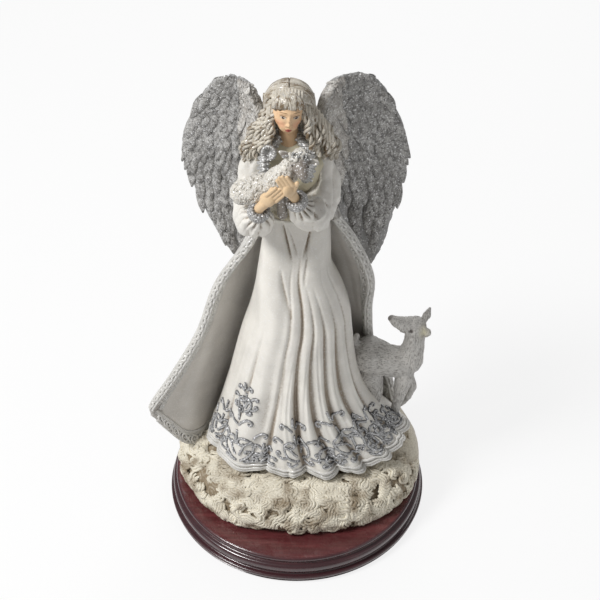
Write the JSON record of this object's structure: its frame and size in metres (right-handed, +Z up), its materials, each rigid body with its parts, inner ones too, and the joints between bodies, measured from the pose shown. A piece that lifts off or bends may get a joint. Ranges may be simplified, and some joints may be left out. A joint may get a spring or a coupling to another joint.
{
  "type": "angel figurine",
  "caption": "Cast resin angel holding a lamb, with open wings and a trimmed mantle, standing on a ruffled cloud with a fawn, on a round mahogany-finish plinth.",
  "frame": {"origin": "centre of the felt pad's underside, on the table", "axes": "+Z up, the figure faces -Y, +X is to the right as seen from the front"},
  "size_m": [0.1771, 0.168, 0.3096],
  "materials": {
    "pearl_resin": "satin pearl paint",
    "ivory_cloud_resin": "matt ivory paint",
    "silver_glitter_resin": "silver glitter paint",
    "wing_resin": "silver-grey satin paint",
    "fawn_resin": "silver-grey satin paint",
    "hair_resin": "satin paint",
    "skin_resin": "matt paint",
    "bodice_resin": "satin paint",
    "mahogany_lacquer": "gloss lacquer",
    "black_felt": "felt",
    "zinc_steel": "zinc plated"
  },
  "bodies": {
    "root": {"plinth": "mahogany_lacquer", "felt_pad": "black_felt", "cloud_base": "ivory_cloud_resin", "gown_skirt": "pearl_resin", "gown_bodice": "bodice_resin", "mantle": "pearl_resin", "sleeve_left": "pearl_resin", "sleeve_right": "pearl_resin", "cuff_left": "silver_glitter_resin", "cuff_right": "silver_glitter_resin", "hand_left": "skin_resin", "hand_right": "skin_resin", "head": "skin_resin", "hair": "hair_resin", "collar": "silver_glitter_resin", "wing_left": "wing_resin", "wing_right": "wing_resin", "lamb": "silver_glitter_resin", "fawn": "fawn_resin", "plinth_screw_1": "zinc_steel", "plinth_screw_2": "zinc_steel", "plinth_screw_3": "zinc_steel"}
  },
  "joints": []
}
